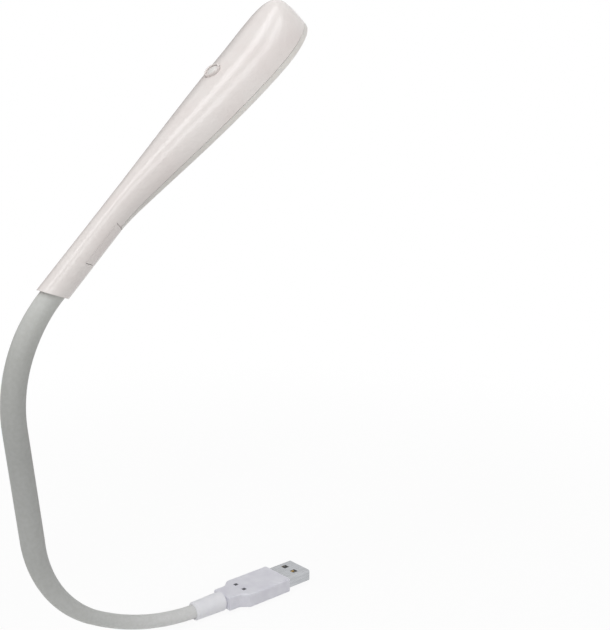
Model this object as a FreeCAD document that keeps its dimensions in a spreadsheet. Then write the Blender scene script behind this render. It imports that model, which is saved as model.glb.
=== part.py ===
# USB LED lamp: a plug, a bendable neck and a spoon-shaped lamp head.
# Lengths are in millimetres. The origin is the middle of the plug's stop face,
# +X points into the socket, +Z is up, and the lamp is symmetric about Y = 0.
import FreeCAD, Part
import Sketcher
import os
import re

doc = FreeCAD.newDocument("usb_led_lamp")
sheet = doc.addObject("Spreadsheet::Sheet", "size")
names = []
nodes = []


def cell(name, value):
    """Put one named size, or a rule between sizes, in the sheet."""
    spot = "A%d" % (len(names) + 1)
    names.append(name)
    sheet.set(spot, str(value))
    sheet.setAlias(spot, name)


def rule(text):
    """Point every size named in a rule at the sheet."""
    return re.sub(r"[a-z][a-z0-9_]*", lambda hit: "size." + hit[0] if hit[0] in names else hit[0], text)


def value(text):
    """The present value of a rule."""
    sheet.recompute()
    return float(sheet.evalExpression(rule(text)))


def at(x, y, z, turn="rotation(vector(0; 0; 1); 0)"):
    """A place whose position and turn follow the sheet."""
    return "placement(vector(%s; %s; %s); %s)" % (x, y, z, turn)


def about_y(angle):
    """A turn about the crosswise axis."""
    return "rotation(vector(0; 1; 0); %s)" % angle


def make(kind, name, place=None, **sizes):
    """Add one feature with its sizes and place bound to the sheet."""
    thing = doc.addObject(kind, name)
    for key, text in sizes.items():
        thing.setExpression(key, rule(text))
    if place:
        thing.setExpression("Placement", rule(place))
    return thing


def cut(name, base, tool, place=None):
    """One feature less another."""
    thing = make("Part::Cut", name, place)
    thing.Base = base
    thing.Tool = tool
    thing.Refine = False
    return thing


def join(name, pieces, place=None):
    """Several features fused into one."""
    thing = make("Part::MultiFuse", name, place)
    thing.Shapes = pieces
    thing.Refine = False
    return thing


def meet(name, base, tool, place=None):
    """What two features share."""
    thing = make("Part::Common", name, place)
    thing.Base = base
    thing.Tool = tool
    thing.Refine = False
    return thing


def tube(name, place, outer, inner, length):
    """A round bar with a bore through it."""
    bar = make("Part::Cylinder", name + "_bar", Radius=outer, Height=length)
    bore = make("Part::Cylinder", name + "_bore", Radius=inner, Height=length)
    return cut(name, bar, bore, place)


def group(name, pieces, place=None):
    """Separate solids kept together in one node."""
    thing = make("Part::Compound", name, place)
    thing.Links = pieces
    return thing


def body(name, place=None):
    """A new part design body."""
    return make("PartDesign::Body", name, place)


def sketch(owner, name, plane, lift="0"):
    """A sketch on one of the body's own planes, lifted along its normal."""
    drawing = owner.newObject("Sketcher::SketchObject", name)
    face = [item for item in owner.Origin.OriginFeatures if item.Role == plane][0]
    drawing.AttachmentSupport = [(face, "")]
    drawing.MapMode = "FlatFace"
    drawing.setExpression("AttachmentOffset.Base.z", rule(lift))
    return drawing


def hold(drawing, kind, number, point, axis, text):
    """Tie one sketch point to the origin along one axis by a sheet rule."""
    length = value(text)
    if abs(length) < 1e-9:
        drawing.addConstraint(Sketcher.Constraint("PointOnObject", number, point, axis))
        return
    place = drawing.addConstraint(Sketcher.Constraint(kind, -1, 1, number, point, length))
    label = "%s_%d_%d" % (kind, number, point)
    drawing.renameConstraint(place, label)
    drawing.setExpression("Constraints." + label, rule(text))


def polygon(drawing, corners):
    """A closed outline of straight sides, each corner held by the sheet."""
    first = drawing.GeometryCount
    count = len(corners)
    spots = [FreeCAD.Vector(value(x), value(y), 0) for x, y in corners]
    for k in range(count):
        drawing.addGeometry(Part.LineSegment(spots[k], spots[(k + 1) % count]), False)
    for k in range(count):
        drawing.addConstraint(Sketcher.Constraint("Coincident", first + k, 2, first + (k + 1) % count, 1))
    for k, (x, y) in enumerate(corners):
        hold(drawing, "DistanceX", first + k, 1, -2, x)
        hold(drawing, "DistanceY", first + k, 1, -1, y)


def rectangle(drawing, x0, y0, x1, y1):
    """A rectangle between two corners."""
    polygon(drawing, [(x0, y0), (x1, y0), (x1, y1), (x0, y1)])


def circle(drawing, x, y, radius):
    """A circle held by its middle and its radius."""
    number = drawing.GeometryCount
    middle = FreeCAD.Vector(value(x), value(y), 0)
    drawing.addGeometry(Part.Circle(middle, FreeCAD.Vector(0, 0, 1), value(radius)), False)
    hold(drawing, "DistanceX", number, 3, -2, x)
    hold(drawing, "DistanceY", number, 3, -1, y)
    place = drawing.addConstraint(Sketcher.Constraint("Radius", number, value(radius)))
    drawing.renameConstraint(place, "radius_%d" % number)
    drawing.setExpression("Constraints.radius_%d" % number, rule(radius))


def extrude(owner, kind, name, drawing, length, flip=False, both=False):
    """A pad or a pocket of one sketch."""
    step = owner.newObject(kind, name)
    step.Profile = drawing
    step.setExpression("Length", rule(length))
    step.Reversed = flip
    step.Midplane = both
    drawing.Visibility = False
    doc.recompute()
    return step


def revolve(owner, name, drawing):
    """A full turn of one sketch about its own vertical axis."""
    step = owner.newObject("PartDesign::Revolution", name)
    step.Profile = drawing
    step.ReferenceAxis = (drawing, ["V_Axis"])
    step.Angle = 360
    doc.recompute()
    return step


def soften(owner, name, step, kind, size, wanted):
    """Round or bevel the edges of one step that a test picks out."""
    edges = ["Edge%d" % (k + 1) for k, edge in enumerate(step.Shape.Edges) if wanted(edge)]
    dress = owner.newObject(kind, name)
    dress.Base = (step, edges)
    dress.setExpression("Radius" if kind.endswith("Fillet") else "Size", rule(size))
    doc.recompute()
    return dress


def keep(thing):
    """Name a finished node."""
    nodes.append(thing)
    return thing


# Fits shared by all pieces: a close seat, a running gap and a visible seam.
cell("seat_gap", 0.1)
cell("seam_gap", 0.2)

# USB plug shell: a folded sheet of standard size, open to the front, with its
# four latch windows. Its tail sits inside the moulded plug body.
cell("shell_width", 12.0)
cell("shell_height", 4.5)
cell("shell_reach", 11.75)
cell("shell_tail", 9.0)
cell("shell_sheet", 0.3)
cell("shell_corner", 0.7)
cell("window_width", 2.3)
cell("window_length", 2.3)
cell("window_spread", 5.2)
cell("window_place", 6.4)

usb_shell = body("usb_shell")
drawing = sketch(usb_shell, "shell_section", "YZ_Plane", "-shell_tail")
rectangle(drawing, "-shell_width / 2", "-shell_height / 2", "shell_width / 2", "shell_height / 2")
rectangle(drawing, "shell_sheet - shell_width / 2", "shell_sheet - shell_height / 2",
          "shell_width / 2 - shell_sheet", "shell_height / 2 - shell_sheet")
step = extrude(usb_shell, "PartDesign::Pad", "shell_tube", drawing, "shell_tail + shell_reach")
wide = value("shell_width / 2")
step = soften(usb_shell, "shell_outer_round", step, "PartDesign::Fillet", "shell_corner",
              lambda e: abs(abs(e.CenterOfMass.y) - wide) < 1e-4 and e.BoundBox.XLength > 5)
inner = value("shell_width / 2 - shell_sheet")
step = soften(usb_shell, "shell_inner_round", step, "PartDesign::Fillet", "shell_corner - shell_sheet",
              lambda e: abs(abs(e.CenterOfMass.y) - inner) < 1e-4 and e.BoundBox.XLength > 5)
drawing = sketch(usb_shell, "shell_windows", "XY_Plane")
for side in ("", "-"):
    polygon(drawing, [("window_place - window_length / 2", side + "(window_spread - window_width) / 2"),
                      ("window_place + window_length / 2", side + "(window_spread - window_width) / 2"),
                      ("window_place + window_length / 2", side + "(window_spread + window_width) / 2"),
                      ("window_place - window_length / 2", side + "(window_spread + window_width) / 2")])
extrude(usb_shell, "PartDesign::Pocket", "shell_window_cut", drawing, "shell_height * 2", both=True)
keep(usb_shell)

# USB insulator: a full block in the tail of the shell and a thin tongue that
# carries the contacts to the mouth, in four grooves.
cell("tongue_thick", 1.9)
cell("tongue_setback", 0.6)
cell("block_front", 0.5)
cell("contact_width", 1.0)
cell("contact_thick", 0.25)
cell("contact_sink", 0.15)
cell("contact_inner", 1.0)
cell("contact_outer", 3.5)
cell("contact_setback", 1.2)
cell("contact_step", 1.0)
cell("tongue_half", "=shell_width / 2 - shell_sheet - seat_gap")
cell("tongue_low", "=shell_sheet + seat_gap - shell_height / 2")
cell("groove_floor", "=tongue_low + tongue_thick - contact_sink")

usb_tongue = body("usb_tongue")
drawing = sketch(usb_tongue, "tongue_section", "YZ_Plane", "-shell_tail")
rectangle(drawing, "-tongue_half", "tongue_low", "tongue_half", "tongue_low + tongue_thick")
step = extrude(usb_tongue, "PartDesign::Pad", "tongue_plate", drawing,
               "shell_tail + shell_reach - tongue_setback")
drawing = sketch(usb_tongue, "block_section", "YZ_Plane", "-shell_tail")
rectangle(drawing, "-tongue_half", "tongue_low", "tongue_half", "-tongue_low")
step = extrude(usb_tongue, "PartDesign::Pad", "tongue_block", drawing, "shell_tail - block_front")
step = soften(usb_tongue, "tongue_round", step, "PartDesign::Fillet", "shell_corner - shell_sheet",
              lambda e: e.BoundBox.YLength + e.BoundBox.ZLength < 1e-6
              and abs(abs(e.CenterOfMass.y) - value("tongue_half")) < 1e-4
              and abs(abs(e.CenterOfMass.z) - value("-tongue_low")) < 1e-4)
drawing = sketch(usb_tongue, "groove_section", "YZ_Plane", "-shell_tail")
for middle in ("contact_inner", "-contact_inner", "contact_outer", "-contact_outer"):
    rectangle(drawing, middle + " - contact_width / 2 - seat_gap", "groove_floor - seat_gap",
              middle + " + contact_width / 2 + seat_gap", "groove_floor + contact_thick + seat_gap")
extrude(usb_tongue, "PartDesign::Pocket", "tongue_grooves", drawing,
        "shell_tail + shell_reach - contact_setback + seat_gap", flip=True)
keep(usb_tongue)

# USB contacts: four strips in the grooves. The two outer ones reach back out of
# the insulator and turn inward to where the supply wires end.
cell("tail_reach", 3.0)
cell("tail_strip", 1.2)
cell("tail_overlap", 0.35)
cell("core_spread", 1.1)
cell("core_lap", 1.0)
cell("tail_inner", "=core_spread / 2 - tail_overlap")

strips = []
for side, mark in ((1, "left"), (-1, "right")):
    inner_strip = make("Part::Box", "inner_strip_" + mark,
                       at("-shell_tail", "%d * contact_inner - contact_width / 2" % side, "groove_floor"),
                       Length="shell_tail + shell_reach - contact_setback - contact_step",
                       Width="contact_width", Height="contact_thick")
    long_strip = make("Part::Box", "long_strip_" + mark,
                      at("-shell_tail - tail_reach", "%d * contact_outer - contact_width / 2" % side,
                         "groove_floor"),
                      Length="shell_tail + tail_reach + shell_reach - contact_setback",
                      Width="contact_width", Height="contact_thick")
    low_end = "tail_inner" if side > 0 else "-contact_outer"
    cross_strip = make("Part::Box", "cross_strip_" + mark,
                       at("-shell_tail - tail_reach", low_end, "groove_floor"),
                       Length="tail_strip", Width="contact_outer - tail_inner", Height="contact_thick")
    strips.append(inner_strip)
    strips.append(join("outer_strip_" + mark, [long_strip, cross_strip]))
usb_contacts = keep(group("usb_contacts", strips))

# Plug body: the flat moulding that is held when the lamp is plugged in. Its
# sides draw in through two soft shoulders, and two grip dimples mark its top.
cell("body_width", 15.0)
cell("body_thick", 5.6)
cell("body_length", 27.5)
cell("wide_share", 0.71)
cell("shoulder_share", 0.11)
cell("body_wide_run", "=body_length * wide_share")
cell("shoulder_run", "=body_length * shoulder_share")
cell("tail_width", 9.6)
cell("shoulder_round", 2.2)
cell("body_edge", 0.8)
cell("wire_room_width", 9.0)
cell("wire_room_height", 3.4)
cell("channel_dia", 3.8)
cell("spigot_dia", 4.4)
cell("spigot_length", 4.5)
cell("crimp_dia", 1.9)
cell("crimp_length", 3.2)
cell("crimp_play", 0.8)
cell("room_wall", 3.0)
cell("crimp_place", "=body_length - spigot_length - crimp_play - crimp_length")
cell("wire_room_end", "=crimp_place - room_wall")
cell("dimple_size", 1.7)
cell("dimple_spread", 4.9)
cell("dimple_set", 0.7)
cell("dimple_place", "=body_wide_run - dimple_set")
cell("dimple_depth", 0.45)

plug_body = body("plug_body")
drawing = sketch(plug_body, "body_outline", "XY_Plane")
polygon(drawing, [("0", "-body_width / 2"), ("0", "body_width / 2"),
                  ("-body_wide_run", "body_width / 2"),
                  ("-body_wide_run - shoulder_run", "tail_width / 2"),
                  ("-body_length", "tail_width / 2"), ("-body_length", "-tail_width / 2"),
                  ("-body_wide_run - shoulder_run", "-tail_width / 2"),
                  ("-body_wide_run", "-body_width / 2")])
step = extrude(plug_body, "PartDesign::Pad", "body_block", drawing, "body_thick", both=True)
back = value("body_length")
step = soften(plug_body, "body_shoulders", step, "PartDesign::Fillet", "shoulder_round",
              lambda e: e.BoundBox.ZLength > 1 and -back + 1 < e.CenterOfMass.x < -1)
high = value("body_thick / 2")
step = soften(plug_body, "body_rounds", step, "PartDesign::Fillet", "body_edge",
              lambda e: abs(abs(e.CenterOfMass.z) - high) < 1e-6 and e.CenterOfMass.x < -0.001)
drawing = sketch(plug_body, "shell_seat", "YZ_Plane")
rectangle(drawing, "-shell_width / 2 - seat_gap", "-shell_height / 2 - seat_gap",
          "shell_width / 2 + seat_gap", "shell_height / 2 + seat_gap")
extrude(plug_body, "PartDesign::Pocket", "shell_seat_cut", drawing, "shell_tail + seat_gap")
drawing = sketch(plug_body, "wire_room", "YZ_Plane")
rectangle(drawing, "-wire_room_width / 2", "-wire_room_height / 2",
          "wire_room_width / 2", "wire_room_height / 2")
extrude(plug_body, "PartDesign::Pocket", "wire_room_cut", drawing, "wire_room_end")
drawing = sketch(plug_body, "wire_channel", "YZ_Plane")
circle(drawing, "0", "0", "channel_dia / 2")
extrude(plug_body, "PartDesign::Pocket", "wire_channel_cut", drawing, "body_length - spigot_length / 2")
drawing = sketch(plug_body, "spigot_seat", "YZ_Plane", "-body_length")
circle(drawing, "0", "0", "spigot_dia / 2 + seat_gap")
extrude(plug_body, "PartDesign::Pocket", "spigot_seat_cut", drawing, "spigot_length + seat_gap", flip=True)
drawing = sketch(plug_body, "dimples", "XY_Plane", "body_thick / 2")
for side in ("", "-"):
    polygon(drawing, [("-dimple_place - dimple_size / 2", side + "(dimple_spread - dimple_size) / 2"),
                      ("-dimple_place + dimple_size / 2", side + "(dimple_spread - dimple_size) / 2"),
                      ("-dimple_place + dimple_size / 2", side + "(dimple_spread + dimple_size) / 2"),
                      ("-dimple_place - dimple_size / 2", side + "(dimple_spread + dimple_size) / 2")])
extrude(plug_body, "PartDesign::Pocket", "dimple_cut", drawing, "dimple_depth")
keep(plug_body)

# Path of the neck: straight out of the plug, a wide bend, a tighter bend up to
# a leaning straight run, then a bend over to the slope of the lamp head.
cell("path_lead", 10.5)
cell("path_start", "=body_length + path_lead")
cell("first_radius", 86.7)
cell("first_turn", 30.5)
cell("second_radius", 44.1)
cell("second_turn", 53.0)
cell("rise_run", 38.3)
cell("third_radius", 50.0)
cell("third_turn", 51.0)
cell("end_run", 2.0)
cell("lean_turn", "=first_turn + second_turn")
cell("full_turn", "=lean_turn + third_turn")
cell("second_x", "=-path_start - (first_radius - second_radius) * sin(first_turn)")
cell("second_z", "=first_radius - (first_radius - second_radius) * cos(first_turn)")
cell("rise_x", "=second_x - second_radius * sin(lean_turn)")
cell("rise_z", "=second_z - second_radius * cos(lean_turn)")
cell("crest_x", "=rise_x - rise_run * cos(lean_turn)")
cell("crest_z", "=rise_z + rise_run * sin(lean_turn)")
cell("third_x", "=crest_x + third_radius * sin(lean_turn)")
cell("third_z", "=crest_z + third_radius * cos(lean_turn)")
cell("bend_end_x", "=third_x - third_radius * sin(full_turn)")
cell("bend_end_z", "=third_z - third_radius * cos(full_turn)")
cell("head_x", "=bend_end_x - end_run * cos(full_turn)")
cell("head_z", "=bend_end_z + end_run * sin(full_turn)")
head = at("head_x", "0", "head_z", about_y("full_turn - 180"))

# Neck jacket: a soft sleeve, thin at the plug and thick above the lower bend.
# It is cut into links that meet in balls and cups, so that each can swing.
cell("neck_thin_dia", 5.0)
cell("neck_thick_dia", 7.7)
cell("neck_head_dia", 7.2)
cell("ball_ratio", 1.16)
cell("ball_gap", 0.2)
cell("neck_bore_dia", 3.0)
cell("neck_root_run", 7.0)
cell("neck_head_run", 9.0)

stations = []
for k in range(4):
    turn = "first_turn * %d / 3" % k
    stations.append(("-path_start - first_radius * sin(%s)" % turn,
                     "first_radius - first_radius * cos(%s)" % turn, turn, "neck_thin_dia / 2"))
for k in range(1, 4):
    turn = "(first_turn + second_turn * %d / 3)" % k
    stations.append(("second_x - second_radius * sin(%s)" % turn,
                     "second_z - second_radius * cos(%s)" % turn, turn,
                     "(neck_thin_dia + (neck_thick_dia - neck_thin_dia) * %d / 3) / 2" % k))
for k in range(1, 3):
    stations.append(("rise_x - rise_run * %d / 2 * cos(lean_turn)" % k,
                     "rise_z + rise_run * %d / 2 * sin(lean_turn)" % k, "lean_turn", "neck_thick_dia / 2"))
for k in range(1, 4):
    turn = "(lean_turn + third_turn * %d / 3)" % k
    stations.append(("third_x - third_radius * sin(%s)" % turn,
                     "third_z - third_radius * cos(%s)" % turn, turn,
                     "neck_head_dia / 2" if k == 3 else "neck_thick_dia / 2"))


def bend(name, radius, thick, x, z, turn, last):
    """A round bar bent through one turn, ending where the path has turned by last."""
    return make("Part::Torus", name,
                at(x, "0", z, "rotation(vector(1; 0; 0); 90) * rotation(vector(0; 0; 1); 270 - %s)" % last),
                Radius1=radius, Radius2=thick, Angle3=turn)


def taper(name, radius, x, z, first, last):
    """A round bar along a bend between two stations of different thickness."""
    spine = make("Part::Circle", name + "_spine", at(x, "0", z, "rotation(vector(1; 0; 0); 90)"),
                 Radius=radius, Angle1="270 - " + stations[last][2], Angle2="270 - " + stations[first][2])
    rings = []
    for k in (first, last):
        east, up, turn, thick = stations[k]
        rings.append(make("Part::Circle", "%s_ring_%d" % (name, k),
                          at(east, "0", up, about_y(turn + " - 90")), Radius=thick))
    bar = make("Part::Sweep", name)
    bar.Sections = rings[::-1]
    bar.Spine = (spine, ["Edge1"])
    bar.Solid = True
    bar.Frenet = True
    return bar


bars = []
for k in range(1, 12):
    bore = "neck_bore_dia / 2"
    if k in (7, 8):
        east, up, turn, thick = stations[k - 1]
        bars.append(tube("bar_%d" % k, at(east, "0", up, about_y("lean_turn - 90")), thick, bore,
                         "rise_run / 2"))
        continue
    radius, x, z, turn = ("first_radius", "-path_start", "first_radius", "first_turn / 3")
    if k > 3:
        radius, x, z, turn = ("second_radius", "second_x", "second_z", "second_turn / 3")
    if k > 8:
        radius, x, z, turn = ("third_radius", "third_x", "third_z", "third_turn / 3")
    if k in (4, 5, 6, 11):
        bar = taper("solid_bar_%d" % k, radius, x, z, k - 1, k)
    else:
        bar = bend("solid_bar_%d" % k, radius, stations[k][3], x, z, turn, stations[k][2])
    bars.append(cut("bar_%d" % k, bar, bend("bore_%d" % k, radius, bore, x, z, turn, stations[k][2])))

# The same path as one chain of edges, for the wires inside the sleeve.
cell("wire_start", "=shell_tail + tail_reach - core_lap")
cell("wire_head_run", 44.0)


def path(name, start, finish):
    """The middle line of the neck from a place in the plug to a place in the head."""
    pieces = [make("Part::Line", name + "_plug", X1="-" + start, Y1="0", Z1="0",
                   X2="-path_start", Y2="0", Z2="0")]
    for mark, radius, x, z, low, top in (
            ("first", "first_radius", "-path_start", "first_radius", "270 - first_turn", "270"),
            ("second", "second_radius", "second_x", "second_z", "270 - lean_turn", "270 - first_turn")):
        pieces.append(make("Part::Circle", name + "_" + mark,
                           at(x, "0", z, "rotation(vector(1; 0; 0); 90)"),
                           Radius=radius, Angle1=low, Angle2=top))
    pieces.append(make("Part::Line", name + "_rise", X1="rise_x", Y1="0", Z1="rise_z",
                       X2="crest_x", Y2="0", Z2="crest_z"))
    pieces.append(make("Part::Circle", name + "_third",
                       at("third_x", "0", "third_z", "rotation(vector(1; 0; 0); 90)"),
                       Radius="third_radius", Angle1="270 - full_turn", Angle2="270 - lean_turn"))
    pieces.append(make("Part::Line", name + "_head", X1="bend_end_x", Y1="0", Z1="bend_end_z",
                       X2="head_x - %s * cos(full_turn)" % finish, Y2="0",
                       Z2="head_z + %s * sin(full_turn)" % finish))
    return group(name, pieces)


def along(name, start, finish, radius, y, z):
    """A round wire that follows the path at a fixed offset."""
    spine = path(name + "_path", start, finish)
    ring = make("Part::Circle", name + "_ring", at("-" + start, y, z, about_y("-90")), Radius=radius)
    wire = make("Part::Sweep", name)
    wire.Sections = [ring]
    wire.Spine = (spine, ["Edge%d" % k for k in range(1, 7)])
    wire.Solid = True
    wire.Frenet = False
    return wire


cell("neck_root_place", "=path_start - neck_root_run")

root_bar = tube("root_bar", at("-neck_root_place", "0", "0", about_y("-90")),
                "neck_thin_dia / 2", "neck_bore_dia / 2", "neck_root_run")
top_bar = tube("top_bar", at("bend_end_x", "0", "bend_end_z", about_y("full_turn - 90")),
               "neck_head_dia / 2", "neck_bore_dia / 2", "end_run + neck_head_run")
balls = {}
cups = {}
for k in range(1, 11):
    east, up, turn, thick = stations[k]
    balls[k] = make("Part::Sphere", "ball_%d" % k, at(east, "0", up), Radius="%s * ball_ratio" % thick)
    cups[k] = make("Part::Sphere", "cup_%d" % k, at(east, "0", up),
                   Radius="%s * ball_ratio + ball_gap" % thick)
for k in range(1, 12):
    pieces = [bars[k - 1]]
    if k == 1:
        pieces.append(root_bar)
    if k == 11:
        pieces.append(top_bar)
    else:
        pieces.append(meet("dome_%d" % k, bars[k], balls[k]))
    link = join("neck_link_1" if k == 1 else "bar_and_dome_%d" % k, pieces)
    if k > 1:
        link = cut("neck_link_%d" % k, link, cups[k - 1])
    keep(link)

# Wires in the neck: a soft steel wire that holds the bend on the outside of the
# curve, and two insulated supply wires beside it. A crimp locks each steel end.
cell("bend_wire_dia", 1.2)
cell("bend_wire_offset", 0.75)
cell("core_dia", 0.85)
cell("core_offset", 0.6)
cell("shoulder_thick", 1.6)
cell("crimp_head_place", "=neck_head_run + shoulder_thick + 3 * seat_gap")

bend_wire = keep(along("bend_wire", "crimp_place", "(crimp_head_place + crimp_length)", "bend_wire_dia / 2",
                       "0", "-bend_wire_offset"))
live_wire = keep(along("live_wire", "wire_start", "wire_head_run", "core_dia / 2",
                       "core_spread / 2", "core_offset"))
ground_wire = keep(along("ground_wire", "wire_start", "wire_head_run", "core_dia / 2",
                         "-core_spread / 2", "core_offset"))
for name, place in (("plug_crimp", at("-crimp_place", "0", "-bend_wire_offset", about_y("-90"))),
                    ("head_crimp", None)):
    if place is None:
        place = at("head_x - crimp_head_place * cos(full_turn) - bend_wire_offset * sin(full_turn)", "0",
                   "head_z + crimp_head_place * sin(full_turn) - bend_wire_offset * cos(full_turn)",
                   about_y("full_turn - 90"))
    keep(tube(name, place, "crimp_dia / 2", "bend_wire_dia / 2 + seat_gap / 2", "crimp_length"))

# Plug boot: the round strain relief behind the plug body. Its spigot sits in
# the body and the neck is bonded into its bore.
cell("boot_dia", 7.4)
cell("boot_mouth_dia", 6.8)
cell("boot_cover", 3.0)
cell("boot_length", "=path_lead + boot_cover")
cell("boot_round", 0.6)

plug_boot = body("plug_boot", at("-body_length", "0", "0", "rotation(vector(0; 0; 1); 90)"))
drawing = sketch(plug_boot, "boot_profile", "XY_Plane")
polygon(drawing, [("neck_bore_dia / 2 + seat_gap", "-spigot_length"),
                  ("spigot_dia / 2", "-spigot_length"), ("spigot_dia / 2", "seat_gap"),
                  ("boot_dia / 2 - boot_round", "seat_gap"), ("boot_dia / 2", "seat_gap + boot_round"),
                  ("boot_mouth_dia / 2", "boot_length - boot_round"),
                  ("boot_mouth_dia / 2 - boot_round", "boot_length"),
                  ("neck_thin_dia / 2 + seat_gap", "boot_length"),
                  ("neck_thin_dia / 2 + seat_gap", "neck_root_place - body_length - seat_gap"),
                  ("neck_bore_dia / 2 + seat_gap", "neck_root_place - body_length - seat_gap")])
revolve(plug_boot, "boot_turn", drawing)
keep(plug_boot)

# Outer form of the lamp head: a round stem that opens into a spoon. Ellipses
# along the head give the spoon, the last ones closing its blunt round tip.
cell("tube_dia", 9.5)
cell("stem_length", 28.5)
cell("wide_place", 105.5)
cell("tip_reach", 26.8)
cell("spoon_width", 31.0)
cell("spoon_droop", 0.8)
cell("spoon_ratio", 1.22)
cell("tip_square", 5.0)
cell("tip_lift", 1.5)
cell("shell_wall", 1.4)
cell("under_slope", 3.8)
cell("lens_step", 0.9)
cell("lens_edge", 1.8)
cell("lip_height", 1.3)
cell("lip_wall", 1.0)
cell("lip_start", 30.5)
tip_angles = (12, 24, 35, 45, 54, 62, 69, 75, 80, 84)
for k in range(9):
    part = k / 8
    ease = 3 * part ** 2 - 2 * part ** 3
    cell("spoon_place_%d" % k, "=stem_length + %g * (wide_place - stem_length)" % part)
    cell("spoon_half_%d" % k, "=tube_dia / 2 + %g * (spoon_width - tube_dia) / 2" % ease)
    cell("spoon_deep_%d" % k, "=spoon_half_%d * (1 + %g * (spoon_ratio - 1))" % (k, part))
    cell("spoon_mid_%d" % k, "=tube_dia / 2 - spoon_deep_%d - %g * spoon_droop" % (k, part ** 2))


def spoon(name, inset):
    """The spoon's form, drawn in by an inset all round."""
    rings = []
    for k in range(9):
        rings.append(make("Part::Ellipse", "%s_ring_%d" % (name, k),
                          at("spoon_place_%d" % k, "0", "spoon_mid_%d" % k, about_y("-90")),
                          MajorRadius="spoon_deep_%d - %s" % (k, inset),
                          MinorRadius="spoon_half_%d - %s" % (k, inset)))
    for angle in tip_angles:
        rings.append(make("Part::Ellipse", "%s_tip_%d" % (name, angle),
                          at("wide_place + (tip_reach - %s) * sin(%d)" % (inset, angle), "0",
                             "spoon_mid_8 + tip_lift * pow(sin(%d); 2)" % angle, about_y("-90")),
                          MajorRadius="(spoon_deep_8 - %s) * pow(1 - pow(sin(%d); tip_square); 1 / tip_square)"
                          % (inset, angle),
                          MinorRadius="(spoon_half_8 - %s) * cos(%d)" % (inset, angle)))
    form = make("Part::Loft", name)
    form.Sections = rings
    form.Solid = True
    form.Ruled = False
    return form


def under(name, start, low, top):
    """A slab along the flat underside of the spoon, between two heights above it."""
    return make("Part::Box", name,
                at("stem_length + (%s) * cos(under_slope) + (%s) * sin(under_slope)" % (start, low),
                   "-spoon_width",
                   "lens_step - tube_dia / 2 - (%s) * sin(under_slope) + (%s) * cos(under_slope)"
                   % (start, low),
                   about_y("under_slope")),
                Length="wide_place + tip_reach", Width="2 * spoon_width", Height="%s - (%s)" % (top, low))


def cover_zone(name, start, finish, top):
    """The lower half of the stem from a slanted start to a square finish."""
    half = make("Part::Box", name + "_half", at("0", "-tool_room", "-tool_room"),
                Length=finish, Width="2 * tool_room", Height="tool_room + (%s)" % top)
    ahead = make("Part::Box", name + "_ahead",
                 at("%s + tool_room * sin(slant)" % start, "-tool_room", "-tool_room * cos(slant)",
                    about_y("-slant")),
                 Length="2 * stem_length", Width="2 * tool_room", Height="2 * tool_room")
    return meet(name, half, ahead)


outer_form = spoon("outer_form", "0")
inner_form = spoon("inner_form", "shell_wall")

# Lamp shell: collar, stem roof and spoon in one moulding. The collar's end is
# cut off at a slant and its bore holds the neck against an inner shoulder.
cell("slant", 24.0)
cell("slant_place", -1.3)
cell("cover_start", 11.9)
cell("tool_room", "=2 * tube_dia")
cell("boss_dia", 4.2)
cell("screw_dia", 1.4)
cell("screw_depth", 3.4)
cell("screw_near", 56.0)
cell("screw_far", 114.0)
cell("board_top", -1.5)
cell("button_place", 92.0)
cell("bezel_dia", 6.0)

collar = make("Part::Cylinder", "collar", at("-tool_room", "0", "0", about_y("90")),
              Radius="tube_dia / 2", Height="stem_length + tool_room")
slant_tool = make("Part::Box", "slant_tool",
                  at("slant_place - tool_room * (cos(slant) - sin(slant))", "-tool_room",
                     "-tool_room * (sin(slant) + cos(slant))", about_y("-slant")),
                  Length="tool_room", Width="2 * tool_room", Height="2 * tool_room")
neck_seat = make("Part::Cylinder", "neck_seat", at("-tool_room", "0", "0", about_y("90")),
                 Radius="neck_head_dia / 2 + seat_gap", Height="tool_room + neck_head_run + seat_gap")
wire_pass = make("Part::Cylinder", "wire_pass", at("0", "0", "0", about_y("90")),
                 Radius="neck_bore_dia / 2", Height="stem_length")
stem_bore = make("Part::Cylinder", "stem_bore",
                 at("neck_head_run + seat_gap + shoulder_thick", "0", "0", about_y("90")),
                 Radius="tube_dia / 2 - shell_wall", Height="stem_length")
cover_tool = cover_zone("cover_tool", "cover_start", "(2 * stem_length)", "0")
stem = collar
for tool in (slant_tool, neck_seat, wire_pass, stem_bore, cover_tool):
    stem = cut("stem_less_" + tool.Name, stem, tool)
under_tool = under("under_tool", "0", "-2 * spoon_width", "lens_edge")
bowl = cut("bowl", cut("solid_bowl", outer_form, under_tool), inner_form)
bezel_tool = make("Part::Cylinder", "bezel_tool", at("button_place", "0", "0"),
                  Radius="bezel_dia / 2 + seat_gap", Height="tool_room")
posts = []
holes = []
for mark in ("near", "far"):
    posts.append(make("Part::Cylinder", "boss_" + mark, at("screw_" + mark, "0", "board_top"),
                      Radius="boss_dia / 2", Height="tube_dia / 2 - shell_wall / 2 - board_top"))
    holes.append(make("Part::Cylinder", "boss_hole_" + mark, at("screw_" + mark, "0", "board_top - boss_dia"),
                      Radius="screw_dia / 2 + seat_gap", Height="screw_depth + boss_dia + seat_gap"))
posts_in_form = meet("posts_in_form", group("posts", posts), outer_form)
full_shell = join("full_shell", [stem, bowl, posts_in_form])
head_shell = keep(cut("head_shell", full_shell, join("shell_holes", holes + [bezel_tool]), head))

# Stem cover: the lower half of the stem, from a slanted edge by the collar to
# the start of the diffuser, which stands back from it by a small step.
cover_bar = tube("cover_bar", at("0", "0", "0", about_y("90")),
                 "tube_dia / 2", "tube_dia / 2 - shell_wall", "stem_length")
cover_half = cover_zone("cover_half", "(cover_start + seam_gap)", "(stem_length - seam_gap)", "-seam_gap / 5")
stem_cover = keep(meet("stem_cover", cover_bar, cover_half, head))

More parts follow.
